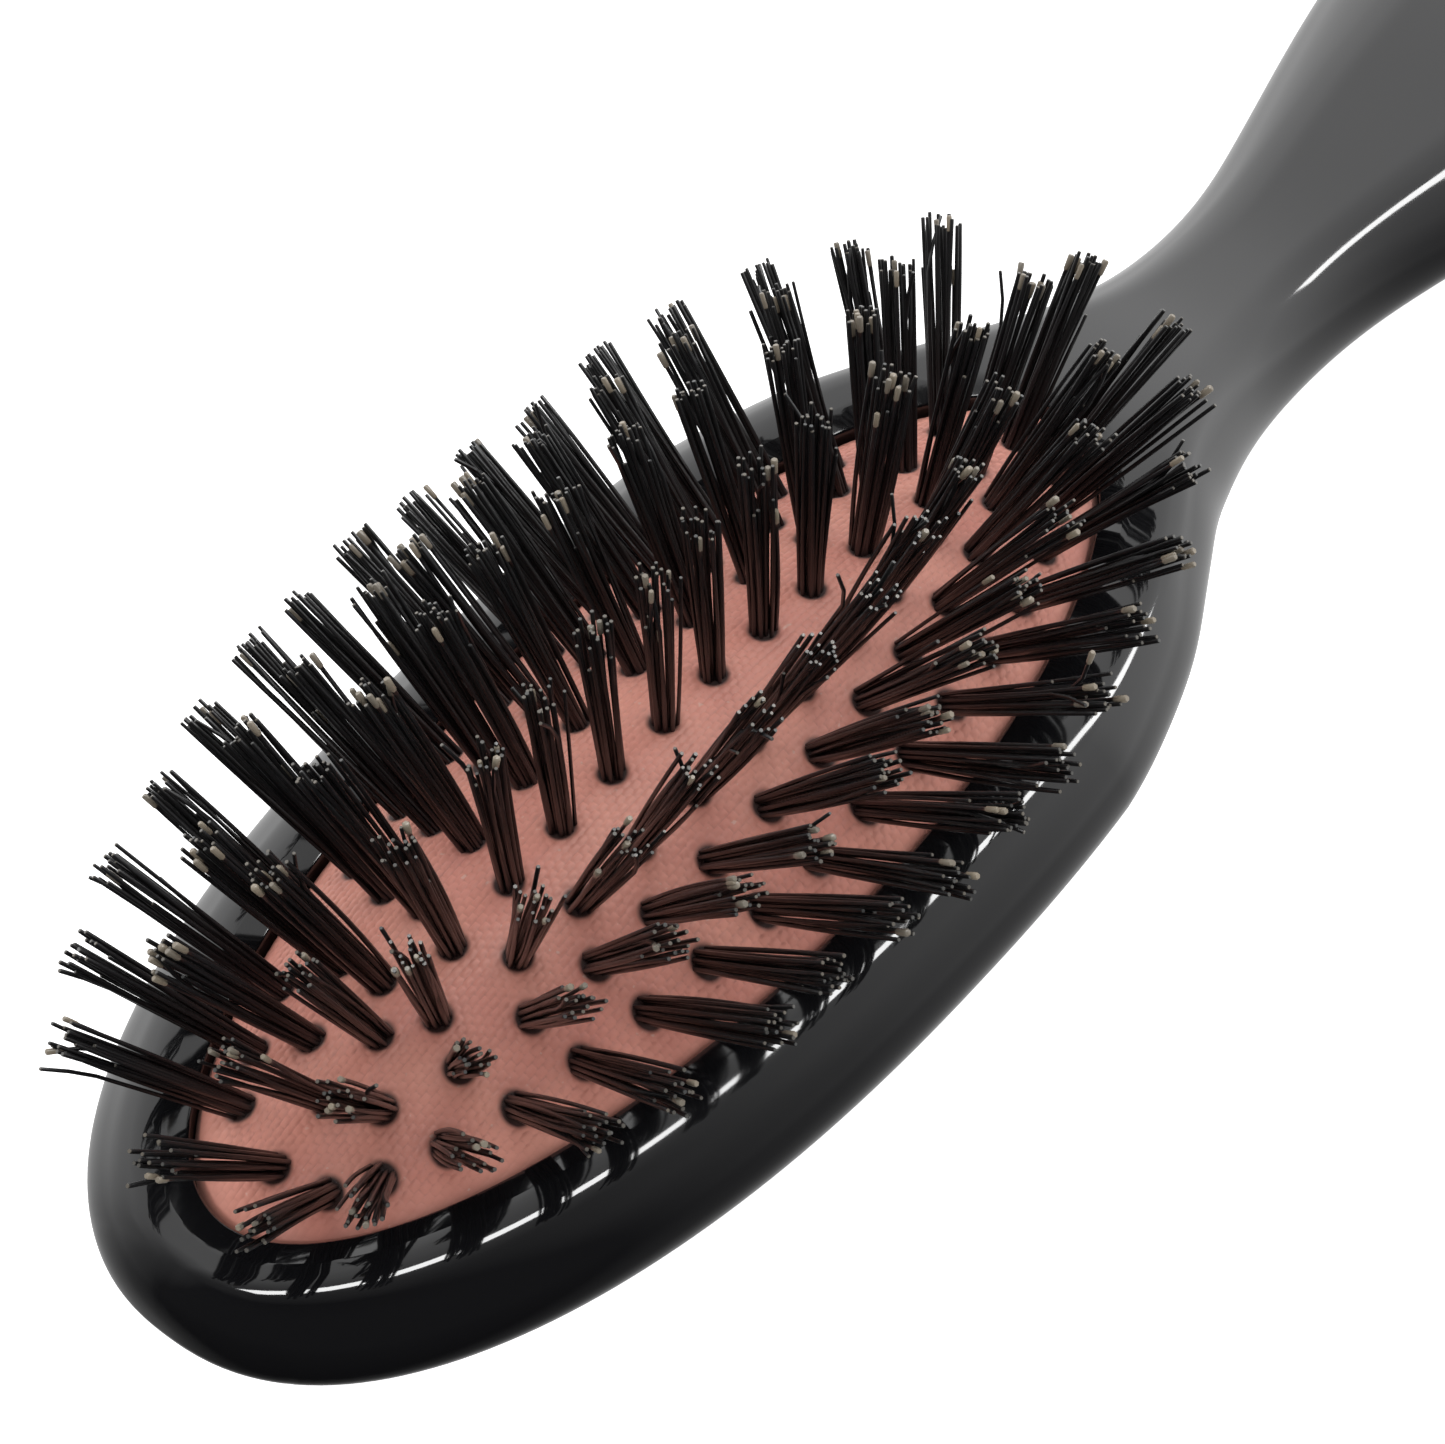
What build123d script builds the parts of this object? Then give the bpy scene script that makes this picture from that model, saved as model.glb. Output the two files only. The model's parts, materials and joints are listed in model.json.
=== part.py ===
from build123d import *
import math
import os

# An oval cushion hair brush: a moulded head and handle, a domed rubber cushion
# with a cloth lining held by its flange in a groove of the head, and tufts of
# bristle, each folded round a wire anchor under the lining.
#
# Millimetres. +X runs from the head to the end of the handle, +Y across it,
# +Z from the back to the bristle tips. The origin is on the plane the back
# rests on, straight under the centre of the cushion.

os.makedirs("parts", exist_ok=True)

# ---- head and handle ----
HEAD_MIDDLE_X = 4.2             # the outline's oval is centred nearer the neck than the recess
HEAD_HALF_LENGTH = 55.5
HEAD_HALF_WIDTH = 24.4
HEAD_OVAL_EXPONENT = 2.28       # 2 is an ellipse, more is squarer
HEAD_WIDEST_Z = 9.7             # height at which the head is widest
HEAD_CROWN = 8.7                # rise of the flank's curve above its widest line
TIP_EXPONENT = 3.6              # how late the top of the flank curves in at the tip
BACK_TIP_EXPONENT = 2.0         # how late the back curves up towards the tip
FLANK_EXPONENT = 2.1
KEEL_Z = -1.1                   # the lowest line of the back before it is flattened
FLANK_POINTS = 9                # points that each flank's curve passes through
REST_CUT_DEPTH = 5              # the block that flattens the back at z = 0
WIDEST_TURN = 84                # a section always keeps a narrow flat at top and keel
HEAD_SECTIONS_X = (
    -51.0, -50.4, -49.6, -48.6, -47.4, -45.8, -43.6, -40.6, -36.6, -31.0, -22.0, -11.0,
    0.0, 11.0, 22.0,
)

RIM_Z = 14.9                    # top of the soft ridge round the cushion
LIP_Z = 14.5                    # edge of the recess
LEAD_IN_WIDTH = 2.0             # the slope from the rim's top down to the lip

# The neck and grip, section by section: (x, half width, height of the widest
# line, rise of the upper curve above it, height of the flat top)
GRIP_SECTIONS = (
    (31.0, 21.2, 9.6, 8.8, 14.9),
    (36.0, 19.3, 9.5, 8.9, 14.9),
    (40.0, 17.0, 9.2, 9.1, 14.9),
    (44.0, 15.0, 8.9, 9.1, 14.85),
    (48.0, 12.8, 8.4, 8.8, 14.6),
    (52.0, 11.2, 7.8, 8.1, 14.0),
    (56.0, 9.9, 7.1, 7.5, 13.2),
    (61.0, 8.8, 6.3, 6.9, 12.15),
    (66.0, 8.35, 5.8, 6.4, 11.4),
    (71.0, 8.4, 5.5, 6.1, 10.95),
    (77.0, 9.1, 5.3, 6.1, 10.75),
    (84.0, 10.7, 5.2, 6.3, 10.8),
    (91.0, 12.5, 5.2, 6.5, 10.95),
    (99.0, 14.4, 5.3, 6.6, 11.2),
    (107.0, 15.9, 5.4, 6.7, 11.4),
    (115.0, 16.8, 5.4, 6.7, 11.5),
    (123.0, 17.0, 5.4, 6.6, 11.4),
    (130.0, 16.3, 5.5, 6.3, 11.15),
    (136.0, 14.6, 5.5, 5.8, 10.75),
    (140.5, 12.0, 5.6, 5.1, 10.2),
    (143.8, 8.8, 5.6, 4.2, 9.45),
)
GRIP_END = (147.1, 0.0, 5.7)
GRIP_END_RISE = 5.1             # below this rise the grip's back curves up too

# ---- recess and cushion ----
RECESS_HALF_LENGTH = 44.7
RECESS_HALF_WIDTH = 16.8
RECESS_FLOOR_Z = 6.0
GROOVE_Z = (11.7, 13.2)
GROOVE_DEPTH = 1.4
FIT_GAP = 0.05                  # between the rubber and the moulding
CUSHION_EDGE_Z = 13.4
CUSHION_RISE = 8.4              # height of the dome above its own edge
RUBBER_THICKNESS = 1.3
SKIRT_THICKNESS = 1.35
LINING_THICKNESS = 0.4
BOND_GAP = 0.03                 # between the rubber and the cloth under it

# ---- bristles ----
TUFT_ROOT_RADIUS = 0.95
TUFT_TIP_RADIUS = 1.6
TUFT_VISIBLE_LENGTH = 16.2
TUFT_FOLD_BELOW_PIVOT = 0.8
PIVOT_DEPTH = 2.6               # from the cushion's surface to the anchor wire
HOLE_CLEARANCE = 0.06
ANCHOR_RADIUS = 0.25
ANCHOR_BORE_RADIUS = 0.29
ANCHOR_LENGTH = 3.8
SPLAY_X = 0.25                  # how far the tufts fan out along the head
END_SPLAY_X = 0.82              # how much more they fan out towards its ends
SPLAY_Y = 1.56                  # the same, across the head
EDGE_SPLAY_Y = 0.65

# The tufts stand in nested ovals. For each: half length and half width at the
# cushion's surface, where its two end tufts stand, and the places (x) of the
# tufts along its two sides. The sides of the outer ovals are staggered.
TUFT_OVALS = {
    "outer": (41.3, 13.0, 40.2, {
        "left": (2.75, 8.25, 13.7, 19.2, 24.7, 29.7, 34.3, 38.0),
        "right": (0.0, 5.5, 11.1, 16.5, 22.0, 27.3, 32.4, 36.5, 39.4),
    }),
    "second": (35.8, 9.0, 34.9, {
        "left": (2.8, 8.6, 14.6, 20.7, 26.6, 32.0),
        "right": (0.0, 5.8, 11.4, 16.8, 22.4, 28.0, 33.2),
    }),
    "third": (29.8, 5.2, 29.6, {
        "left": (3.1, 8.9, 14.8, 20.6, 26.5),
        "right": (2.9, 8.6, 14.4, 19.9, 26.4),
    }),
}
CENTRE_ROW_X = (0.0, 5.4, 10.8, 16.2, 22.0)
SIDES = {"left": 1, "right": -1}

# Tufts that stand at much the same height of the dome share one level of
# anchors: the lowest share of the dome's height that each level holds.
LEVEL_FLOORS = (0.0, 0.27, 0.42, 0.58, 0.74, 0.9)


def dome_share(x, y):
    """Height of the cushion at a point, as a share of the dome's full rise."""
    return 1 - (x / RECESS_HALF_LENGTH) ** 2 - (y / RECESS_HALF_WIDTH) ** 2


def cushion_height(x, y):
    """Height of the cushion's surface above the resting plane."""
    return CUSHION_EDGE_Z + CUSHION_RISE * dome_share(x, y)


def tuft_direction(x, y):
    """The way a tuft points: outwards, more and more towards the edge."""
    along = x / RECESS_HALF_LENGTH
    across = y / RECESS_HALF_WIDTH
    lean = Vector(
        SPLAY_X * along + END_SPLAY_X * along**3,
        SPLAY_Y * across + EDGE_SPLAY_Y * across**3,
        1,
    )
    return lean.normalized()


def tuft_pivot(x, y):
    """Centre of the anchor wire of the tuft that leaves the cushion at (x, y)."""
    return Vector(x, y, cushion_height(x, y)) - tuft_direction(x, y) * PIVOT_DEPTH


def level_of(x, y):
    """Number, from 1, of the level of anchors that holds a tuft."""
    return sum(dome_share(x, y) >= floor for floor in LEVEL_FLOORS)


def mirrored(x, y):
    """A tuft and its twin at the other end of the head, on one hinge line."""
    return [(x, y)] if x == 0 else [(x, y), (-x, y)]


def tuft_groups():
    """Node name -> the feet of its tufts. The feet of one node share y and height."""
    groups = {}
    for oval, (half_length, half_width, end, sides) in TUFT_OVALS.items():
        for side, places in sides.items():
            for number, x in enumerate(places, 1):
                y = SIDES[side] * half_width * math.sqrt(1 - (x / half_length) ** 2)
                groups[f"bristles_{oval}_{side}_{number}"] = mirrored(x, y)
        groups[f"bristles_{oval}_ends"] = mirrored(end, 0.0)
    for number, x in enumerate(CENTRE_ROW_X, 1):
        groups[f"bristles_centre_{number}"] = mirrored(x, 0.0)
    return groups


# ---- head and handle ----
def power(value, exponent):
    return math.copysign(abs(value) ** exponent, value)


def section_wire(x, half_width, widest_z, rise, drop, top_z):
    """One closed cross-section of the moulding, square to X.

    Two curved flanks join a flat top and a narrow flat keel.
    """
    share = min((top_z - widest_z) / rise, 1.0)
    highest = math.asin(share ** (FLANK_EXPONENT / 2))
    highest = min(highest, math.radians(WIDEST_TURN))
    lowest = -math.radians(WIDEST_TURN)
    steps = [i / (FLANK_POINTS - 1) for i in range(FLANK_POINTS)]
    flank = []
    for step in steps:
        turn = lowest + (highest - lowest) * step
        across = half_width * power(math.cos(turn), 2 / FLANK_EXPONENT)
        up = power(math.sin(turn), 2 / FLANK_EXPONENT)
        flank.append((across, widest_z + up * (rise if up > 0 else drop)))
    right = [(x, y, z) for y, z in flank]
    left = [(x, -y, z) for y, z in reversed(flank)]
    return Wire(
        [
            Edge.make_spline(right, parameters=steps),
            Edge.make_line(right[-1], left[0]),
            Edge.make_spline(left, parameters=steps),
            Edge.make_line(left[-1], right[0]),
        ]
    )


def oval_share(along, exponent):
    """Width, as a share of the widest, of an oval this share of the way to its end."""
    return (1 - along**exponent) ** (1 / exponent)


def head_section(x):
    """A cross-section of the head between its tip and the start of the neck."""
    along = abs(x - HEAD_MIDDLE_X) / HEAD_HALF_LENGTH
    half_width = HEAD_HALF_WIDTH * oval_share(along, HEAD_OVAL_EXPONENT)
    rise = HEAD_CROWN
    drop = HEAD_WIDEST_Z - KEEL_Z
    if x < HEAD_MIDDLE_X:
        rise *= oval_share(along, TIP_EXPONENT)
        drop *= oval_share(along, BACK_TIP_EXPONENT)
    return section_wire(x, half_width, HEAD_WIDEST_Z, rise, drop, RIM_Z)


def outer_form():
    """The whole outside of the moulding, as one smooth form with a flat top."""
    sections = [Vertex(HEAD_MIDDLE_X - HEAD_HALF_LENGTH, 0, HEAD_WIDEST_Z)]
    sections += [head_section(x) for x in HEAD_SECTIONS_X]
    for x, half_width, widest_z, rise, top_z in GRIP_SECTIONS:
        ends_in = min(1.0, rise / GRIP_END_RISE)
        drop = (widest_z - KEEL_Z) * ends_in
        sections.append(section_wire(x, half_width, widest_z, rise, drop, top_z))
    sections.append(Vertex(*GRIP_END))
    return Solid.make_loft(sections)


def ellipse_at(half_length, half_width, z):
    return Plane.XY.offset(z) * Ellipse(half_length, half_width)


def oval_block(half_length, half_width, low, high):
    return extrude(ellipse_at(half_length, half_width, low), high - low)


def lead_in():
    """The shallow slope from the rim's top down to the lip of the recess."""
    slope = (RIM_Z - LIP_Z) / LEAD_IN_WIDTH
    inward, outward = -1.0, 2 * LEAD_IN_WIDTH
    ends = [
        ellipse_at(RECESS_HALF_LENGTH + d, RECESS_HALF_WIDTH + d, LIP_Z + slope * d)
        for d in (inward, outward)
    ]
    return loft(ends)


def head_and_handle():
    body = outer_form() - Pos(0, 0, -REST_CUT_DEPTH / 2) * Box(400, 100, REST_CUT_DEPTH)
    body = body.fix() - lead_in()
    body -= oval_block(RECESS_HALF_LENGTH, RECESS_HALF_WIDTH, RECESS_FLOOR_Z, RIM_Z + 2)
    body -= oval_block(
        RECESS_HALF_LENGTH + GROOVE_DEPTH, RECESS_HALF_WIDTH + GROOVE_DEPTH, *GROOVE_Z
    )
    return body


# ---- cushion ----
def dome_block(edge_z, base_z):
    """Solid under the dome whose edge is at edge_z, down to base_z."""
    radius = RECESS_HALF_WIDTH
    top = edge_z + CUSHION_RISE
    outline = (
        Bezier((0, top), (radius / 2, top), (radius, edge_z))
        + Line((radius, edge_z), (radius, base_z))
        + Line((radius, base_z), (0, base_z))
        + Line((0, base_z), (0, top))
    )
    turned = revolve(make_face(Plane.XZ * outline), Axis.Z)
    return scale(turned, (RECESS_HALF_LENGTH / RECESS_HALF_WIDTH, 1, 1))


def tuft_holes():
    """A rod along every tuft, a little wider than its root."""
    reach = PIVOT_DEPTH + 3
    rod = Pos(0, 0, reach / 2) * Cylinder(TUFT_ROOT_RADIUS + HOLE_CLEARANCE, reach)
    return [
        Plane(tuft_pivot(x, y), z_dir=tuft_direction(x, y)).location * rod
        for feet in tuft_groups().values()
        for x, y in feet
    ]


def cushion(holes):
    low = GROOVE_Z[0] + FIT_GAP
    high = GROOVE_Z[1] - FIT_GAP
    side = FIT_GAP
    skirt_x = RECESS_HALF_LENGTH - side - SKIRT_THICKNESS
    skirt_y = RECESS_HALF_WIDTH - side - SKIRT_THICKNESS
    sky = CUSHION_EDGE_Z + CUSHION_RISE + 1
    dome = dome_block(CUSHION_EDGE_Z, low - 2)
    dome &= oval_block(RECESS_HALF_LENGTH - side, RECESS_HALF_WIDTH - side, low, sky)
    hollow = dome_block(CUSHION_EDGE_Z - RUBBER_THICKNESS, low - 4)
    hollow &= oval_block(skirt_x, skirt_y, low - 3, sky)
    reach = GROOVE_DEPTH - FIT_GAP
    flange = oval_block(RECESS_HALF_LENGTH + reach, RECESS_HALF_WIDTH + reach, low, high)
    flange -= oval_block(skirt_x, skirt_y, low - 1, high + 1)
    return (dome - hollow + flange) - holes


def cushion_lining(holes):
    upper_edge = CUSHION_EDGE_Z - RUBBER_THICKNESS - BOND_GAP
    reach = SKIRT_THICKNESS + 2 * FIT_GAP
    low = GROOVE_Z[0] - 6
    sky = CUSHION_EDGE_Z + CUSHION_RISE + 1
    sheet = dome_block(upper_edge, low) - dome_block(
        upper_edge - LINING_THICKNESS, low - 2
    )
    sheet &= oval_block(
        RECESS_HALF_LENGTH - reach, RECESS_HALF_WIDTH - reach, low + 1, sky
    )
    return sheet - holes


# ---- bristles and their anchors ----
def straight_tuft():
    """One tuft standing on its pivot at the origin, folded end down."""
    root = TUFT_ROOT_RADIUS
    tip = TUFT_TIP_RADIUS
    fold = -TUFT_FOLD_BELOW_PIVOT
    top = PIVOT_DEPTH + TUFT_VISIBLE_LENGTH
    outline = (
        Line((0, fold), (0.6 * root, fold))
        + Line((0.6 * root, fold), (root, fold / 2))
        + Line((root, fold / 2), (root, PIVOT_DEPTH + 0.4))
        + Line((root, PIVOT_DEPTH + 0.4), (tip, top - 0.7))
        + Line((tip, top - 0.7), (0.6 * tip, top))
        + Line((0.6 * tip, top), (0, top))
        + Line((0, top), (0, fold))
    )
    return revolve(make_face(Plane.XZ * outline), Axis.Z)


def wire_along_x(radius, length):
    return Rot(0, 90, 0) * Cylinder(radius, length)


def tuft(x, y):
    pivot = tuft_pivot(x, y)
    standing = Plane(pivot, z_dir=tuft_direction(x, y)).location * straight_tuft()
    return standing - Pos(*pivot) * wire_along_x(ANCHOR_BORE_RADIUS, 4 * TUFT_ROOT_RADIUS)


def anchor(x, y):
    return Pos(*tuft_pivot(x, y)) * wire_along_x(ANCHOR_RADIUS, ANCHOR_LENGTH)


def write(shape, node):
    export_step(shape, f"parts/{node}.step")


if __name__ == "__main__":
    write(head_and_handle(), "head_and_handle")
    rods = tuft_holes()
    write(cushion(rods), "cushion")
    write(cushion_lining(rods), "cushion_lining")
    groups = tuft_groups()
    for node, feet in groups.items():
        write(Compound([tuft(x, y) for x, y in feet]), node)
    for level in range(1, len(LEVEL_FLOORS) + 1):
        wires = [
            anchor(x, y)
            for feet in groups.values()
            for x, y in feet
            if level_of(x, y) == level
        ]
        write(Compound(wires), f"anchors_level_{level}")
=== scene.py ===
import json
import math
import random

import bmesh
import bpy
import numpy as np
from mathutils import Matrix, Vector


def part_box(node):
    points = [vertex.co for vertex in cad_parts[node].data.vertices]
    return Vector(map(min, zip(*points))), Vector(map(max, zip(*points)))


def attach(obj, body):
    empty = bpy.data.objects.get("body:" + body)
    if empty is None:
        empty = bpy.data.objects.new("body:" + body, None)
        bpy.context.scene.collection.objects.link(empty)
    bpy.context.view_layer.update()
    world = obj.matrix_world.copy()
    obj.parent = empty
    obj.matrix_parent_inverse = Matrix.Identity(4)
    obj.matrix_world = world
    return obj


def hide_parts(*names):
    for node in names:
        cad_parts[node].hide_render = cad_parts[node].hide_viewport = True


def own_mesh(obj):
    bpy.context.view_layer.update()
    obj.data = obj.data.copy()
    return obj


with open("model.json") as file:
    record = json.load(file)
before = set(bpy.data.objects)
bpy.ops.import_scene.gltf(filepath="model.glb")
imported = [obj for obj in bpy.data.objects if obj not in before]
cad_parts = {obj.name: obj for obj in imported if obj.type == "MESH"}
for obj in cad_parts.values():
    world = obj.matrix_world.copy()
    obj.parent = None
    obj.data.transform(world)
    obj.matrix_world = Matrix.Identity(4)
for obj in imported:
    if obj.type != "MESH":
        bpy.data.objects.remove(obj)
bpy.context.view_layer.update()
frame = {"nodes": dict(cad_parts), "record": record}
record = frame["record"]
joints = {joint["name"]: joint for joint in record["behaviour"]["joints"]}
bodies = record["behaviour"]["bodies"]
MM = 0.001
rng = random.Random(20)


# ---- sizes of the moulding, in millimetres, as in the CAD ----
HEAD_MIDDLE_X = 4.2
HEAD_HALF_LENGTH = 55.5
HEAD_HALF_WIDTH = 24.4
HEAD_OVAL_EXPONENT = 2.28
HEAD_WIDEST_Z = 9.7
HEAD_CROWN = 8.7
TIP_EXPONENT = 3.6
BACK_TIP_EXPONENT = 2.0
FLANK_EXPONENT = 2.1
KEEL_Z = -1.1
WIDEST_TURN = math.radians(84)
RIM_Z = 14.9
LIP_Z = 14.5
RECESS_FLOOR_Z = 6.0
LEAD_IN_WIDTH = 2.0
RECESS_HALF_LENGTH = 44.7
RECESS_HALF_WIDTH = 16.8
# neck and grip: (x, half width, height of the widest line, rise above it, top height)
GRIP_SECTIONS = (
    (31.0, 21.2, 9.6, 8.8, 14.9),
    (36.0, 19.25, 9.5, 8.9, 14.9),
    (40.0, 17.15, 9.2, 9.1, 14.9),
    (44.0, 14.95, 8.9, 9.1, 14.85),
    (48.0, 12.8, 8.4, 8.8, 14.6),
    (52.0, 11.2, 7.8, 8.1, 14.0),
    (56.0, 9.9, 7.1, 7.5, 13.2),
    (61.0, 8.8, 6.3, 6.9, 12.15),
    (66.0, 8.35, 5.8, 6.4, 11.4),
    (71.0, 8.4, 5.5, 6.1, 10.95),
    (77.0, 9.1, 5.3, 6.1, 10.75),
    (84.0, 10.7, 5.2, 6.3, 10.8),
    (91.0, 12.5, 5.2, 6.5, 10.95),
    (99.0, 14.4, 5.3, 6.6, 11.2),
    (107.0, 15.9, 5.4, 6.7, 11.4),
    (115.0, 16.8, 5.4, 6.7, 11.5),
    (123.0, 17.0, 5.4, 6.6, 11.4),
    (130.0, 16.3, 5.5, 6.3, 11.15),
    (136.0, 14.6, 5.5, 5.8, 10.75),
    (140.5, 12.0, 5.6, 5.1, 10.2),
    (143.8, 8.8, 5.6, 4.2, 9.45),
)
GRIP_END = (147.1, 0.0, 5.7, 0.0, 5.7)
GRIP_END_RISE = 5.1                 # below this rise the grip's back curves up too
GRIP_CLOSES_X = 134.0               # from here on the sections lie closer and closer

# cushion and tufts, as in the CAD
CUSHION_EDGE_Z = 13.4
CUSHION_RISE = 8.4
PIVOT_DEPTH = 2.6                   # from the cushion's surface down to the anchor wire
TUFT_VISIBLE_LENGTH = 16.2
TUFT_TIP_RADIUS = 1.6
SPLAY_X = 0.25
END_SPLAY_X = 0.82
SPLAY_Y = 1.56
EDGE_SPLAY_Y = 0.65


# ---- small helpers ----
def new_mesh(name, points, faces, smooth=True):
    """A mesh object from points in millimetres and a list of faces."""
    mesh = bpy.data.meshes.new(name)
    mesh.from_pydata([tuple(p) for p in np.asarray(points, float) * MM], [], faces)
    mesh.update()
    if smooth:
        mesh.polygons.foreach_set("use_smooth", [True] * len(mesh.polygons))
    piece = bpy.data.objects.new(name, mesh)
    bpy.context.scene.collection.objects.link(piece)
    return piece


def grid_faces(rows, columns, closed):
    """Faces of a grid of points; each row closes on itself when closed is true."""
    faces = []
    last = columns if closed else columns - 1
    for r in range(rows - 1):
        for c in range(last):
            d = (c + 1) % columns
            faces.append(
                (r * columns + c, r * columns + d, (r + 1) * columns + d, (r + 1) * columns + c)
            )
    return faces


def face_outwards(piece):
    """Turns every face of a closed mesh to point outwards."""
    form = bmesh.new()
    form.from_mesh(piece.data)
    bmesh.ops.recalc_face_normals(form, faces=form.faces)
    form.to_mesh(piece.data)
    form.free()


def set_material(piece, material):
    """Gives a piece one material."""
    piece.data.materials.clear()
    piece.data.materials.append(material)


def smooth_curve(xs, ys, x):
    """Values at x of the natural cubic spline through (xs, ys)."""
    xs = np.asarray(xs, float)
    ys = np.asarray(ys, float)
    gaps = np.diff(xs)
    n = len(xs)
    matrix = np.eye(n)
    right = np.zeros(n)
    for i in range(1, n - 1):
        matrix[i, i - 1] = gaps[i - 1]
        matrix[i, i] = 2 * (gaps[i - 1] + gaps[i])
        matrix[i, i + 1] = gaps[i]
        steps = (ys[i + 1] - ys[i]) / gaps[i] - (ys[i] - ys[i - 1]) / gaps[i - 1]
        right[i] = 6 * steps
    bend = np.linalg.solve(matrix, right)
    k = np.clip(np.searchsorted(xs, x) - 1, 0, n - 2)
    h = gaps[k]
    a = (xs[k + 1] - x) / h
    b = (x - xs[k]) / h
    curve = (a**3 - a) * bend[k] + (b**3 - b) * bend[k + 1]
    return a * ys[k] + b * ys[k + 1] + curve * h**2 / 6


# ---- materials ----
def node_material(name):
    """A new material with its node tree, links and main shader."""
    material = bpy.data.materials.new(name)
    material.use_nodes = True
    nodes = material.node_tree.nodes
    shader = nodes["Principled BSDF"]
    return material, nodes, material.node_tree.links, shader


def mapped_noise(nodes, links, scale, detail, stretch=(1, 1, 1)):
    """Noise over the piece's own coordinates; scale is in waves to the metre."""
    coords = nodes.new("ShaderNodeTexCoord")
    mapping = nodes.new("ShaderNodeMapping")
    mapping.inputs["Scale"].default_value = stretch
    links.new(coords.outputs["Object"], mapping.inputs["Vector"])
    noise = nodes.new("ShaderNodeTexNoise")
    noise.inputs["Scale"].default_value = scale
    noise.inputs["Detail"].default_value = detail
    links.new(mapping.outputs["Vector"], noise.inputs["Vector"])
    return noise


def ramp(nodes, links, source, stops):
    """A colour ramp over a value; stops are (place, colour)."""
    node = nodes.new("ShaderNodeValToRGB")
    for i, (place, colour) in enumerate(stops):
        if i < 2:
            stop = node.color_ramp.elements[i]
            stop.position = place
        else:
            stop = node.color_ramp.elements.new(place)
        stop.color = (*colour, 1)
    links.new(source, node.inputs["Fac"])
    return node


def bump(nodes, links, shader, source, strength, distance):
    """Fine relief from a value; distance is in millimetres."""
    node = nodes.new("ShaderNodeBump")
    node.inputs["Strength"].default_value = strength
    node.inputs["Distance"].default_value = distance * MM
    links.new(source, node.inputs["Height"])
    links.new(node.outputs["Normal"], shader.inputs["Normal"])


def black_plastic():
    """Glossy moulded plastic with faint waviness and fine handling scratches."""
    material, nodes, links, shader = node_material("black_plastic")
    shader.inputs["Base Color"].default_value = (0.006, 0.006, 0.007, 1)
    shader.inputs["IOR"].default_value = 1.52
    smears = mapped_noise(nodes, links, 90, 4)
    rough = ramp(nodes, links, smears.outputs["Fac"], [(0.35, (0.045,) * 3), (0.75, (0.12,) * 3)])
    links.new(rough.outputs["Color"], shader.inputs["Roughness"])
    scratches = mapped_noise(nodes, links, 900, 3, (0.05, 1, 1))
    bump(nodes, links, shader, scratches.outputs["Fac"], 0.10, 0.02)
    return material


def cushion_rubber():
    """Matt salmon-pink rubber with painted shade: darkest where the tufts come through, also at
    its edge and in the weave's hollows.
    """
    material, nodes, links, shader = node_material("cushion_rubber")
    mottle = mapped_noise(nodes, links, 160, 6)
    base = ramp(
        nodes,
        links,
        mottle.outputs["Fac"],
        [(0.3, (0.74, 0.27, 0.205)), (0.72, (0.86, 0.36, 0.27))],
    )
    # painted shade: a point attribute saying how much painted shade the rubber takes
    painted_shade = nodes.new("ShaderNodeAttribute")
    painted_shade.attribute_name = "painted_shade"
    specks = mapped_noise(nodes, links, 1500, 2)
    dust = ramp(nodes, links, specks.outputs["Fac"], [(0.70, (0, 0, 0)), (0.76, (0.5, 0.5, 0.5))])
    dusted = nodes.new("ShaderNodeMix")
    dusted.data_type = "RGBA"
    links.new(dust.outputs["Color"], dusted.inputs["Factor"])
    links.new(base.outputs["Color"], dusted.inputs["A"])
    dusted.inputs["B"].default_value = (0.80, 0.55, 0.45, 1)
    # the painted shade darkens the rubber towards a near-black red-brown
    shade_mix = nodes.new("ShaderNodeMix")
    shade_mix.data_type = "RGBA"
    links.new(painted_shade.outputs["Fac"], shade_mix.inputs["Factor"])
    links.new(dusted.outputs["Result"], shade_mix.inputs["A"])
    shade_mix.inputs["B"].default_value = (0.05, 0.018, 0.014, 1)
    links.new(shade_mix.outputs["Result"], shader.inputs["Base Color"])
    shader.inputs["Roughness"].default_value = 0.62
    shader.inputs["Sheen Weight"].default_value = 0.15
    fine = mapped_noise(nodes, links, 2600, 3)
    bump(nodes, links, shader, fine.outputs["Fac"], 0.35, 0.05)
    return material


def lining_cloth():
    """Thin plain-woven cotton."""
    material, nodes, links, shader = node_material("lining_cloth")
    threads = nodes.new("ShaderNodeTexChecker")
    threads.inputs["Scale"].default_value = 1600
    threads.inputs["Color1"].default_value = (0.50, 0.32, 0.25, 1)
    threads.inputs["Color2"].default_value = (0.38, 0.23, 0.18, 1)
    coords = nodes.new("ShaderNodeTexCoord")
    links.new(coords.outputs["Object"], threads.inputs["Vector"])
    links.new(threads.outputs["Color"], shader.inputs["Base Color"])
    shader.inputs["Roughness"].default_value = 0.95
    bump(nodes, links, shader, threads.outputs["Fac"], 0.5, 0.08)
    return material


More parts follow.
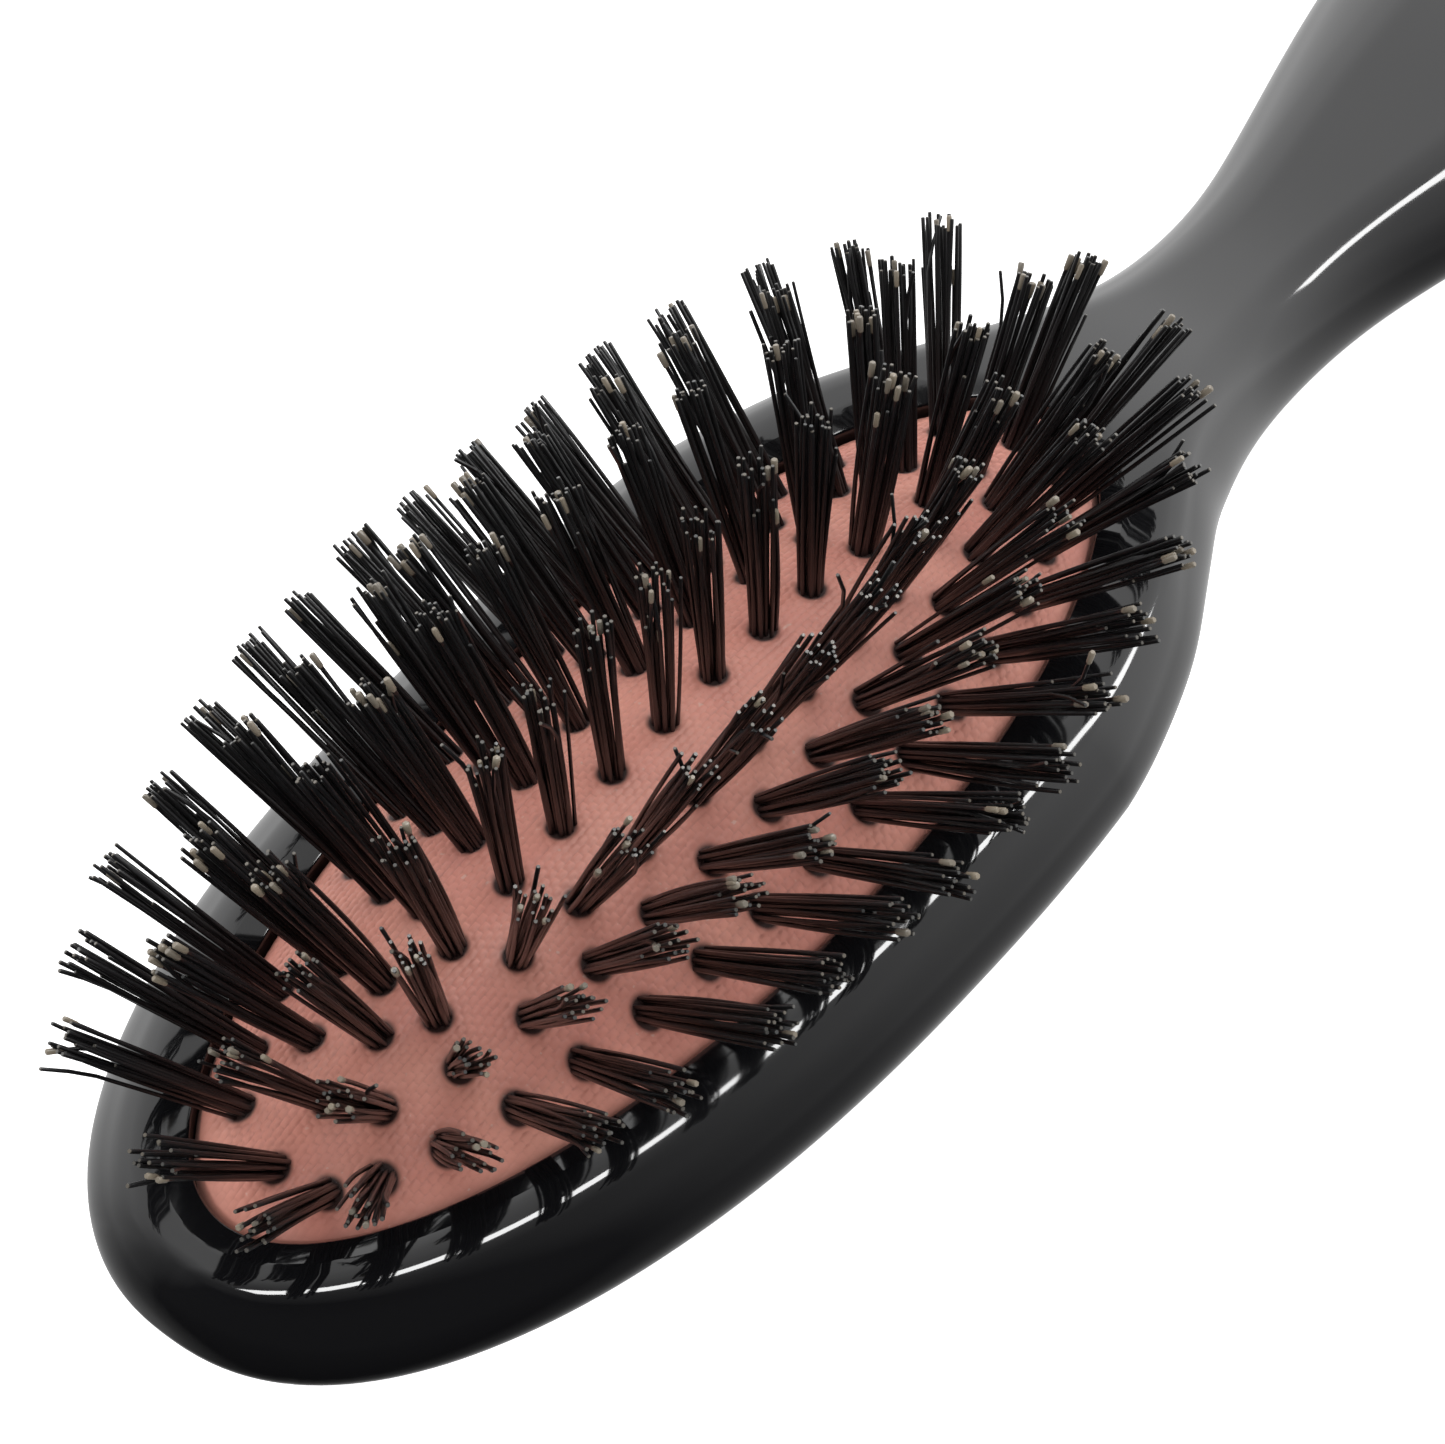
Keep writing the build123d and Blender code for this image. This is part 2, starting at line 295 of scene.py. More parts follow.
def bristle():
    """Dark bristle: reddish brown low down, black above, pale worn ends."""
    material, nodes, links, shader = node_material("bristle")
    marks = nodes.new("ShaderNodeAttribute")
    marks.attribute_name = "strand"
    split = nodes.new("ShaderNodeSeparateColor")
    links.new(marks.outputs["Color"], split.inputs["Color"])
    along = ramp(
        nodes,
        links,
        split.outputs["Red"],
        [
            (0.0, (0.020, 0.0075, 0.007)),
            (0.35, (0.013, 0.008, 0.008)),
            (0.7, (0.008, 0.008, 0.009)),
        ],
    )
    tone = nodes.new("ShaderNodeMix")
    tone.data_type = "RGBA"
    tone.blend_type = "MULTIPLY"
    tone.inputs["Factor"].default_value = 0.7
    links.new(along.outputs["Color"], tone.inputs["A"])
    shade = ramp(
        nodes, links, split.outputs["Green"], [(0.0, (0.55, 0.5, 0.5)), (1.0, (1.6, 1.5, 1.5))]
    )
    links.new(shade.outputs["Color"], tone.inputs["B"])
    tipped = nodes.new("ShaderNodeMix")
    tipped.data_type = "RGBA"
    links.new(split.outputs["Blue"], tipped.inputs["Factor"])
    links.new(tone.outputs["Result"], tipped.inputs["A"])
    pale = ramp(
        nodes,
        links,
        split.outputs["Green"],
        [(0.0, (0.10, 0.105, 0.105)), (1.0, (0.36, 0.30, 0.22))],
    )
    links.new(pale.outputs["Color"], tipped.inputs["B"])
    links.new(tipped.outputs["Result"], shader.inputs["Base Color"])
    shader.inputs["Roughness"].default_value = 0.38
    shader.inputs["Coat Weight"].default_value = 0.25
    shader.inputs["Coat Roughness"].default_value = 0.3
    ridges = mapped_noise(nodes, links, 5000, 2)
    bump(nodes, links, shader, ridges.outputs["Fac"], 0.2, 0.02)
    return material


def anchor_wire():
    """Drawn steel wire."""
    material, nodes, links, shader = node_material("anchor_wire")
    shader.inputs["Metallic"].default_value = 1.0
    drawn = mapped_noise(nodes, links, 3000, 2, (0.1, 1, 1))
    tint = ramp(
        nodes, links, drawn.outputs["Fac"], [(0.3, (0.45, 0.44, 0.42)), (0.7, (0.65, 0.63, 0.6))]
    )
    links.new(tint.outputs["Color"], shader.inputs["Base Color"])
    shader.inputs["Roughness"].default_value = 0.35
    return material


# ---- the moulding ----
FLANK_STEPS = 34
RIDGE_STEPS = 7
TOP_STEPS = 8
RIDGE_SOFTNESS = 1.5                # how far the ridge's rounding reaches to either side
REST_SOFTNESS = 0.25                # rounding of the edge of the flat that the brush rests on
LIP_ROUNDING = 0.28
FLOOR_ROUNDING = 1.5
FLOOR_CORNER = (-0.4, 0.35)         # a point on the rounded corner of the recess floor
RIDGE_ANGLE = math.radians(40)      # edges sharper than this stay sharp


def power(value, exponent):
    """A power that keeps the value's sign."""
    return np.sign(value) * np.abs(value) ** exponent


def oval_share(along, exponent):
    """Width, as a share of the widest, of an oval this share of the way to its end."""
    return (1 - min(along, 1.0) ** exponent) ** (1 / exponent)


def head_row(x):
    """(x, half width, widest height, rise, top height, drop) of a head section."""
    along = abs(x - HEAD_MIDDLE_X) / HEAD_HALF_LENGTH
    half_width = HEAD_HALF_WIDTH * oval_share(along, HEAD_OVAL_EXPONENT)
    rise = HEAD_CROWN
    drop = HEAD_WIDEST_Z - KEEL_Z
    if x < HEAD_MIDDLE_X:
        rise *= oval_share(along, TIP_EXPONENT)
        drop *= oval_share(along, BACK_TIP_EXPONENT)
    return x, half_width, HEAD_WIDEST_Z, rise, RIM_Z, drop


def grip_row(x, half_width, widest_z, rise, top_z):
    """The same six values for one of GRIP_SECTIONS."""
    drop = (widest_z - KEEL_Z) * min(1.0, rise / GRIP_END_RISE)
    return x, half_width, widest_z, rise, top_z, drop


def section_rows():
    """Closely spaced sections of the moulding from the tip to the grip's end."""
    turns = np.linspace(0, math.pi / 2, 60)
    head_x = list(HEAD_MIDDLE_X - HEAD_HALF_LENGTH * np.cos(turns)) + list(range(5, 22))
    rows = [head_row(x) for x in head_x]
    known = [head_row(x) for x in (0.0, 11.0, 22.0)]
    known += [grip_row(*row) for row in GRIP_SECTIONS]
    known.append((*GRIP_END, 0.0))
    known = np.array(known)
    # squared sizes run out evenly to nothing, which closes the end like an ellipse
    centre = known[:, 2]
    squares = [known[:, 1] ** 2, known[:, 3] ** 2, (known[:, 4] - centre) ** 2, known[:, 5] ** 2]
    reach = GRIP_END[0] - GRIP_CLOSES_X
    closing = GRIP_CLOSES_X + reach * np.sin(np.linspace(0, math.pi / 2, 34)[1:])
    for x in [*np.linspace(22, GRIP_CLOSES_X, 110), *closing]:
        sizes = [math.sqrt(max(smooth_curve(known[:, 0], s, x), 0.0)) for s in squares]
        middle = smooth_curve(known[:, 0], centre, x)
        rows.append((x, sizes[0], middle, sizes[1], middle + sizes[2], sizes[3]))
    return rows


def half_section(half_width, widest_z, rise, top_z, drop):
    """Points (y, z) from the keel up the flank, over the ridge, to the middle."""
    if half_width < 0.01:
        return [(0.0, widest_z)] * (FLANK_STEPS + RIDGE_STEPS + TOP_STEPS)
    share = min((top_z - widest_z) / max(rise, 1e-6), 1.0)
    highest = min(math.asin(share ** (FLANK_EXPONENT / 2)), WIDEST_TURN)

    def on_flank(turn):
        across = half_width * power(math.cos(turn), 2 / FLANK_EXPONENT)
        up = power(math.sin(turn), 2 / FLANK_EXPONENT)
        return np.array((across, widest_z + up * (rise if up > 0 else drop)))

    crease = on_flank(highest)
    ease = min(RIDGE_SOFTNESS, 0.6 * crease[0])
    start_turn = highest - ease / max(half_width, 3.0) * 1.2
    points = [on_flank(t) for t in np.linspace(-math.pi / 2, start_turn, FLANK_STEPS)]
    start = points[-1]
    end = np.array((crease[0] - ease, crease[1]))
    for t in np.linspace(0, 1, RIDGE_STEPS + 1)[1:]:
        points.append((1 - t) ** 2 * start + 2 * t * (1 - t) * crease + t**2 * end)
    for t in np.linspace(0, 1, TOP_STEPS + 1)[1:]:
        points.append(end * (1 - t) + np.array((0.0, crease[1])) * t)
    return points


def outer_points():
    """Grid of the outside of the moulding, row by row, and its column count."""
    rows = []
    for x, half_width, widest_z, rise, top_z, drop in section_rows():
        half = half_section(half_width, widest_z, rise, top_z, drop)
        other = [(-y, z) for y, z in reversed(half)][1:-1]
        ring = []
        for y, z in half + other:
            z = 0.5 * (z + math.hypot(z, REST_SOFTNESS))
            ring.append((x, y, z))
        rows.append(ring)
    return rows


def ellipse_ring(grow, z, count=240):
    """Points round the recess's oval, grown outwards, at one height."""
    turns = [2 * math.pi * i / count for i in range(count)]
    return [
        (
            (RECESS_HALF_LENGTH + grow) * math.cos(t),
            (RECESS_HALF_WIDTH + grow) * math.sin(t),
            z,
        )
        for t in turns
    ]


def recess_cutter():
    """The recess with its rounded lip and the shallow slope that leads into it."""
    slope = (RIM_Z - LIP_Z) / LEAD_IN_WIDTH
    corner_out, corner_up = FLOOR_CORNER
    round_z = LIP_Z - LIP_ROUNDING
    profile = [
        (-FLOOR_ROUNDING, RECESS_FLOOR_Z),
        (corner_out, RECESS_FLOOR_Z + corner_up),
        (0.0, RECESS_FLOOR_Z + FLOOR_ROUNDING),
    ]
    profile += [(0.0, z) for z in (7.0, 10.0, 12.5, round_z)]
    for turn in np.linspace(0.2, 1.0, 5):
        angle = turn * (math.pi / 2 - math.atan(slope))
        out = LIP_ROUNDING * (1 - math.cos(angle))
        profile.append((out, round_z + LIP_ROUNDING * math.sin(angle)))
    profile += [(d, LIP_Z + slope * d) for d in (1.0, LEAD_IN_WIDTH, 2 * LEAD_IN_WIDTH)]
    profile.append((2 * LEAD_IN_WIDTH, RIM_Z + 3))
    rings = [ellipse_ring(grow, z) for grow, z in profile]
    count = len(rings[0])
    points = [p for ring in rings for p in ring]
    faces = grid_faces(len(rings), count, True)
    floor = tuple(reversed(range(count)))
    lid = tuple(range((len(rings) - 1) * count, len(rings) * count))
    cutter = new_mesh("recess_cutter", points, faces + [floor, lid])
    face_outwards(cutter)
    return cutter


def head_and_handle(material):
    """The moulding: its outside as one closed skin, with the recess cut from it."""
    rows = outer_points()
    columns = len(rows[0])
    points = [p for ring in rows for p in ring]
    body = new_mesh("moulded_head_and_handle", points, grid_faces(len(rows), columns, True))
    weld = body.modifiers.new("weld", "WELD")
    weld.merge_threshold = 0.00001
    apply_modifiers(body)
    face_outwards(body)
    cutter = recess_cutter()
    cut = body.modifiers.new("recess", "BOOLEAN")
    cut.operation = "DIFFERENCE"
    cut.solver = "EXACT"
    cut.object = cutter
    apply_modifiers(body)
    bpy.data.objects.remove(cutter)
    body.data.polygons.foreach_set("use_smooth", [True] * len(body.data.polygons))
    body.data.set_sharp_from_angle(angle=RIDGE_ANGLE)
    set_material(body, material)
    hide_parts("head_and_handle")
    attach(body, "handle")


def apply_modifiers(piece):
    """Turns a piece's modifiers into plain mesh."""
    bpy.context.view_layer.update()
    graph = bpy.context.evaluated_depsgraph_get()
    final = bpy.data.meshes.new_from_object(piece.evaluated_get(graph))
    piece.modifiers.clear()
    piece.data = final


# ---- the tufts' places ----
def dome_share(x, y):
    """Height of the cushion at a point, as a share of the dome's full rise."""
    return 1 - (x / RECESS_HALF_LENGTH) ** 2 - (y / RECESS_HALF_WIDTH) ** 2


def cushion_height(x, y):
    """Height of the cushion's surface above the resting plane."""
    return CUSHION_EDGE_Z + CUSHION_RISE * dome_share(x, y)


def tuft_direction(x, y):
    """The way a tuft points: outwards, more and more towards the edge."""
    along = x / RECESS_HALF_LENGTH
    across = y / RECESS_HALF_WIDTH
    lean_x = SPLAY_X * along + END_SPLAY_X * along**3
    lean_y = SPLAY_Y * across + EDGE_SPLAY_Y * across**3
    return Vector((lean_x, lean_y, 1)).normalized()


def body_of(node):
    """The body that a CAD node belongs to."""
    return next(name for name, nodes in bodies.items() if node in nodes)


def feet_of(node):
    """Where a node's tufts leave the cushion, from its hinge and its box.

    The hinge gives the height of the tufts across the brush; the box's far end gives
    the place along it, where a tuft's tip and half its width just reach.
    """
    hinge = next(j for j in joints.values() if j["child"] == body_of(node))
    pivot_y = hinge["pos_m"][1] / MM
    _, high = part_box(node)
    y = pivot_y
    for _ in range(30):
        y = pivot_y + tuft_direction(0, y).y * PIVOT_DEPTH
    reach = high.x / MM
    x = reach - 2.0
    for _ in range(60):
        lean = tuft_direction(x, y)
        tip = x + lean.x * TUFT_VISIBLE_LENGTH
        side = TUFT_TIP_RADIUS * math.sqrt(max(0.0, 1 - lean.x**2))
        x -= 0.5 * (tip + side - reach)
        y = pivot_y + lean.y * PIVOT_DEPTH
    if abs(x) < 0.8:
        return [(0.0, y)]
    return [(x, y), (-x, y)]


tuft_nodes = sorted(n for n in frame["nodes"] if n.startswith("bristles_"))
feet = {node: feet_of(node) for node in tuft_nodes}


# ---- the cushion ----
PAD_THICKNESS = 1.3
PAD_EDGE_GAP = 0.06
LINING_DROP = 1.34                  # from the rubber's top to the lining's top
LINING_THICKNESS = 0.38
LINING_INSET = 1.5
EDGE_ROLL_FROM = 0.985              # share of the way out where the sheet's edge rolls down
EDGE_ROLL_SLOPE = 40
LEAST_THICKNESS = 0.2
WEAVE_LENGTH = 0.80
WEAVE_WIDTH = 0.55
WEAVE_RELIEF = 0.17
DIMPLE_DEPTH = 0.30
DIMPLE_RADIUS = 1.15
FOOT_RADIUS = 0.95                  # the painted shade is darkest inside this distance of a tuft
FOOT_FADE = 0.40


def weave(x, y):
    """The woven imprint, from -0.5 to 0.5: short raised dashes, laid like bricks."""
    drift = 0.10 * np.sin(x * 0.21 + y * 0.13)
    row = np.floor(y / WEAVE_WIDTH + drift)
    a = np.abs(np.sin(math.pi * (x / WEAVE_LENGTH + 0.5 * np.mod(row, 2))))
    b = np.abs(np.sin(math.pi * (y / WEAVE_WIDTH + drift)))
    return np.sqrt(a * b) - 0.5


def nearest_foot(x, y):
    """Distance from each point to the nearest tuft."""
    near = np.full_like(x, 1e9)
    for places in feet.values():
        for foot_x, foot_y in places:
            near = np.minimum(near, np.hypot(x - foot_x, y - foot_y))
    return near


def dress(x, y, z, out):
    """Presses the weave and the tufts' dimples into the rubber; also says how much shade is
    painted on it.
    """
    near = nearest_foot(x, y)
    imprint = weave(x, y) * np.clip((near - 0.9) / 0.8, 0, 1) * np.clip((1 - out) * 12, 0, 1)
    z = z + WEAVE_RELIEF * imprint
    z = z - DIMPLE_DEPTH * np.exp(-((near / DIMPLE_RADIUS) ** 4))
    # painted shade: dark in the holes where the tufts come through, with a faint painted shadow
    # round each tuft
    painted_shade = np.clip(1.0 - (near - FOOT_RADIUS) / FOOT_FADE, 0, 1) ** 1.5
    painted_shade = np.maximum(painted_shade, 0.12 * np.exp(-((near / 2.0) ** 2)))
    # painted shade: a dark line where the sheet's edge meets the lip
    painted_shade = np.maximum(painted_shade, 0.45 * np.clip(1 - (1 - out) * 60, 0, 1))
    # painted shade in the hollows of the weave
    painted_shade = np.maximum(painted_shade, 0.42 * np.clip(-imprint, 0, 1))
    return z, painted_shade


def border_of(columns, rows):
    """Places, in a grid of points, of those round its border, in order."""
    border = list(range(columns))
    border += [columns * (row + 1) - 1 for row in range(1, rows)]
    border += [columns * (rows - 1) + c for c in range(columns - 2, -1, -1)]
    border += [columns * row for row in range(rows - 2, 0, -1)]
    return border


def domed_sheet(name, top_edge_z, thickness, inset, columns, rows, dressed):
    """A closed domed sheet: top, rolled edge and underside."""
    across, down = np.meshgrid(np.linspace(-1, 1, columns), np.linspace(-1, 1, rows))
    # squares onto a disc, so the mesh stays even right out to the oval edge
    disc_x = across * np.sqrt(1 - down**2 / 2)
    disc_y = down * np.sqrt(1 - across**2 / 2)
    x = disc_x * (RECESS_HALF_LENGTH - inset)
    y = disc_y * (RECESS_HALF_WIDTH - inset)
    out = np.hypot(disc_x, disc_y)
    z = top_edge_z + CUSHION_RISE * dome_share(x, y)
    lower = z - thickness
    painted_shade = np.zeros_like(z)
    if dressed:
        z, painted_shade = dress(x, y, z, out)
    z = np.where(out > EDGE_ROLL_FROM, z - (out - EDGE_ROLL_FROM) * EDGE_ROLL_SLOPE, z)
    top = np.stack([x, y, z], -1).reshape(-1, 3)
    bottom = np.stack([x, y, np.minimum(lower, z - LEAST_THICKNESS)], -1).reshape(-1, 3)
    count = len(top)
    faces = grid_faces(rows, columns, False)
    under = [tuple(count + i for i in reversed(f)) for f in faces]
    border = border_of(columns, rows)
    ahead = border[1:] + border[:1]
    rim = [(b, a, a + count, b + count) for a, b in zip(border, ahead)]
    sheet = new_mesh(name, np.concatenate([top, bottom]), faces + under + rim)
    face_outwards(sheet)
    # the painted shade is kept on the top's points as a point attribute
    marks = sheet.data.attributes.new("painted_shade", "FLOAT", "POINT")
    marks.data.foreach_set("value", list(painted_shade.ravel()) + [0.0] * count)
    return sheet


def sink_with_press(piece):
    """Gives the piece a mesh of its own."""
    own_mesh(piece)


def rubber_pad(material):
    """The pink rubber that shows between the tufts."""
    columns, rows = ((900, 340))
    pad = domed_sheet(
        "rubber_cushion", CUSHION_EDGE_Z, PAD_THICKNESS, PAD_EDGE_GAP, columns, rows, True
    )
    set_material(pad, material)
    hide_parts("cushion")
    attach(pad, "handle")
    sink_with_press(pad)


def cloth_lining(material):
    """The cloth bonded under the rubber."""
    top_z = CUSHION_EDGE_Z - LINING_DROP
    lining = domed_sheet("cloth_lining", top_z, LINING_THICKNESS, LINING_INSET, 120, 48, False)
    set_material(lining, material)
    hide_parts("cushion_lining")
    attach(lining, "handle")
    sink_with_press(lining)


# ---- bristles ----
STRANDS_PER_TUFT = 20
GOLDEN_TURN = 2.399963              # spreads the strands evenly over a tuft
STRAND_SIDES = 6
STRAND_STEPS = 9
STRAND_RADIUS = 0.18
STRAND_TAPER = 0.16                 # how much thinner a strand is at its end
ROOT_SPREAD = 0.8
TIP_SPREAD = 0.68
TUFT_WANDER = 0.42                  # how far a tuft's tip strays sideways
STRAND_WANDER = 0.16
STRAND_BOW = 0.12
SHORT_SHARE = 0.10                  # strands that are broken short
HOOKED_SHARE = 0.06                 # strands bent over at the tip
HOOK_REACH = 0.8
SPLIT_SHARE = 0.13                  # strands that end in a pale, swollen, split tip
END_STEPS = (1.2, 1.1, 0.1, 0.0)    # the last rings of a strand, measured back from its end
CUT_END_PALE = 0.55
SPLIT_END_PALE = 0.8
STRAND_EDGE_ANGLE = math.radians(60)


def tube(path, radii, marks):
    """Rings of points round a path; returns points, faces and marks per point."""
    points = []
    labels = []
    sides = STRAND_SIDES
    side_way = None
    for i, centre in enumerate(path):
        ahead = path[min(i + 1, len(path) - 1)] - path[max(i - 1, 0)]
        ahead.normalize()
        if side_way is None:
            side_way = ahead.orthogonal().normalized()
        side_way = (side_way - ahead * side_way.dot(ahead)).normalized()
        third = ahead.cross(side_way)
        for k in range(sides):
            turn = 2 * math.pi * k / sides
            out = side_way * math.cos(turn) + third * math.sin(turn)
            points.append(centre + out * radii[i])
            labels.append(marks[i])
    faces = grid_faces(len(path), sides, True)
    faces.append(tuple(reversed(range(sides))))
    faces.append(tuple(range((len(path) - 1) * sides, len(path) * sides)))
    return points, faces, labels


def strand_path(root, tip, bow):
    """Points of one strand from the anchor wire to its tip."""
    shares = [i / STRAND_STEPS for i in range(STRAND_STEPS + 1)]
    return [root.lerp(tip, t) + bow * math.sin(math.pi * t) for t in shares]


def with_cut_end(path):
    """The path with the rings that shape the strand's end."""
    ahead = (path[-1] - path[-2]).normalized()
    return path[:-1] + [path[-1] - ahead * back for back in END_STEPS]


def strand_radii(count, radius):
    """A strand's radius at each of its rings."""
    last = count - 1
    radii = [radius * (1.0 - STRAND_TAPER * k / last) for k in range(count)]
    radii[-1] *= 0.85
    return radii


def strand_marks(path, foot, lean, tone, split):
    """For each ring: how far along the tuft it is, its tone and how pale it is."""
    last = len(path) - 1
    marks = []
    for k, point in enumerate(path):
        share = (point - foot).dot(lean) / TUFT_VISIBLE_LENGTH
        along = max(0.0, min(1.0, share))
        pale = CUT_END_PALE if k == last else 0.0
        if split and k >= last - 2:
            pale = SPLIT_END_PALE
        marks.append((along, tone, pale, 1.0))
    return marks


def tuft_strands(x, y):
    """All strands of one tuft: for each, its points, faces and marks."""
    lean = tuft_direction(x, y)
    foot = Vector((x, y, cushion_height(x, y)))
    pivot = foot - lean * PIVOT_DEPTH
    side_x = (Vector((1, 0, 0)) - lean * lean.x).normalized()
    side_y = lean.cross(side_x)
    tuft_length = TUFT_VISIBLE_LENGTH * rng.uniform(0.93, 0.985)
    stray = Vector((rng.gauss(0, TUFT_WANDER), rng.gauss(0, TUFT_WANDER)))
    squeeze = rng.uniform(0.85, 1.15)
    strands = []
    for i in range(STRANDS_PER_TUFT):
        turn = i * GOLDEN_TURN + rng.uniform(-0.2, 0.2)
        out = math.sqrt((i + 0.5) / STRANDS_PER_TUFT)
        share_x, share_y = out * math.cos(turn), out * math.sin(turn)
        spread = ROOT_SPREAD + TIP_SPREAD * squeeze * rng.uniform(0.75, 1.2)
        length = tuft_length * rng.uniform(0.93, 1.0)
        if rng.random() < SHORT_SHARE:
            length *= rng.uniform(0.72, 0.9)
        root = pivot + side_x * share_x * ROOT_SPREAD + side_y * share_y * ROOT_SPREAD
        tip = foot + lean * length
        tip += side_x * (share_x * spread + stray.x + rng.gauss(0, STRAND_WANDER))
        tip += side_y * (share_y * spread + stray.y + rng.gauss(0, STRAND_WANDER))
        bow = side_x * rng.gauss(0, STRAND_BOW) + side_y * rng.gauss(0, STRAND_BOW)
        path = strand_path(root, tip, bow)
        if rng.random() < HOOKED_SHARE:
            hook = side_x * rng.gauss(0, HOOK_REACH) + side_y * rng.gauss(0, HOOK_REACH)
            path[-1] += hook
            path[-2] += hook * 0.35
        path = with_cut_end(path)
        radius = STRAND_RADIUS * rng.uniform(0.85, 1.1)
        radii = strand_radii(len(path), radius)
        tone = 0.6 * rng.random()
        split = rng.random() < SPLIT_SHARE
        if split:
            tone = rng.uniform(0.5, 1.0)
            swell = rng.uniform(1.15, 1.5)
            radii[-3:] = [radius * swell * width for width in (0.9, 1.0, 0.75)]
        strands.append(tube(path, radii, strand_marks(path, foot, lean, tone, split)))
    return strands


def bristle_node(node, material):
    """The strands of a node's tufts, as one piece that rides on the node's body."""
    points, faces, marks = [], [], []
    for x, y in feet[node]:
        for strand_points, strand_faces, strand_labels in tuft_strands(x, y):
            base = len(points)
            points += strand_points
            faces += [tuple(base + i for i in face) for face in strand_faces]
            marks += strand_labels
    piece = new_mesh(node.replace("bristles", "strands"), points, faces)
    colours = piece.data.attributes.new("strand", "FLOAT_COLOR", "POINT")
    colours.data.foreach_set("color", [value for mark in marks for value in mark])
    piece.data.set_sharp_from_angle(angle=STRAND_EDGE_ANGLE)
    set_material(piece, material)
    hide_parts(node)
    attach(piece, body_of(node))


# ---- stage, light and camera ----
FLOOR_REACH = 3000
FLOOR_Z = -0.05                     # just under the brush, so that the two do not flicker
SKY_FACING = (0.433, 0.25, 0.0)     # half a step towards the bright side of the room
SKY_SIDES = [(0.25, 0.03), (0.32, 0.12), (0.42, 0.22), (0.53, 0.45), (0.66, 0.8), (0.76, 1.0)]
SKY_HEIGHTS = [(0.1, 0.3), (0.4, 0.7), (0.5, 1.0), (0.8, 1.0), (0.95, 0.6)]
SKY_STRENGTH = 2.0
EVEN_STRENGTH = 1.6
OVERHEAD_PLACE = (0.27, -0.11, 0.95)
OVERHEAD_TARGET = (0, 0, 0.015)
OVERHEAD_SIZE = (0.13, 1.4)
OVERHEAD_RADIANCE = 20
CAMERA_LENS = 106.2
CAMERA_SENSOR = 36
CAMERA_PLACE = (-0.1326, -0.1268, 0.2449)
CAMERA_RIGHT = (0.6319, -0.7737, -0.0462)
CAMERA_BACK = (-0.4677, -0.4281, 0.7733)


def floor():
    """A pale floor that shows plain white and neither shades nor mirrors in the brush."""
    far = FLOOR_REACH
    corners = [(x, y, FLOOR_Z) for x, y in ((-far, -far), (far, -far), (far, far), (-far, far))]
    plane = new_mesh("floor", corners, [(0, 1, 2, 3)], smooth=False)
    material, nodes, links, shader = node_material("pale_floor")
    shader.inputs["Base Color"].default_value = (0.8, 0.8, 0.8, 1)
    shader.inputs["Roughness"].default_value = 0.9
    shader.inputs["Emission Color"].default_value = (1, 1, 1, 1)
    path = nodes.new("ShaderNodeLightPath")
    links.new(path.outputs["Is Camera Ray"], shader.inputs["Emission Strength"])
    set_material(plane, material)
    plane.visible_glossy = False
    plane.visible_diffuse = False


def area_light(name, place, target, size, radiance):
    """A soft box; radiance is its brightness as it would be seen in a mirror."""
    light = bpy.data.lights.new(name, "AREA")
    light.shape = "RECTANGLE"
    light.size, light.size_y = size
    light.energy = radiance * math.pi * size[0] * size[1]
    lamp = bpy.data.objects.new(name, light)
    lamp.location = Vector(place)
    aim = Vector(target) - lamp.location
    lamp.rotation_euler = aim.to_track_quat("-Z", "Y").to_euler()
    lamp.visible_diffuse = False
    bpy.context.scene.collection.objects.link(lamp)


def grey_ramp(nodes, links, value, stops):
    """A ramp of greys over a value; stops are (place, brightness)."""
    return ramp(nodes, links, value, [(place, (level, level, level)) for place, level in stops])


def half_and_half(nodes, links, value):
    """Half the value plus a half: turns -1 to 1 into 0 to 1."""
    halved = nodes.new("ShaderNodeMath")
    halved.operation = "MULTIPLY_ADD"
    halved.inputs[1].default_value = 0.5
    halved.inputs[2].default_value = 0.5
    links.new(value, halved.inputs[0])
    return halved.outputs["Value"]


def room_colour(nodes, links):
    """White beyond the handle, dark behind the camera, dimmer below and right above."""
    coords = nodes.new("ShaderNodeTexCoord")
    facing = nodes.new("ShaderNodeVectorMath")
    facing.operation = "DOT_PRODUCT"
    facing.inputs[1].default_value = SKY_FACING
    links.new(coords.outputs["Generated"], facing.inputs[0])
    centred = nodes.new("ShaderNodeMath")
    centred.inputs[1].default_value = 0.5
    links.new(facing.outputs["Value"], centred.inputs[0])
    sides = grey_ramp(nodes, links, centred.outputs["Value"], SKY_SIDES)
    split = nodes.new("ShaderNodeSeparateXYZ")
    links.new(coords.outputs["Generated"], split.inputs[0])
    height = half_and_half(nodes, links, split.outputs["Z"])
    heights = grey_ramp(nodes, links, height, SKY_HEIGHTS)
    both = nodes.new("ShaderNodeMix")
    both.data_type = "RGBA"
    both.blend_type = "MULTIPLY"
    both.inputs["Factor"].default_value = 1.0
    links.new(sides.outputs["Color"], both.inputs["A"])
    links.new(heights.outputs["Color"], both.inputs["B"])
    return both.outputs["Result"]


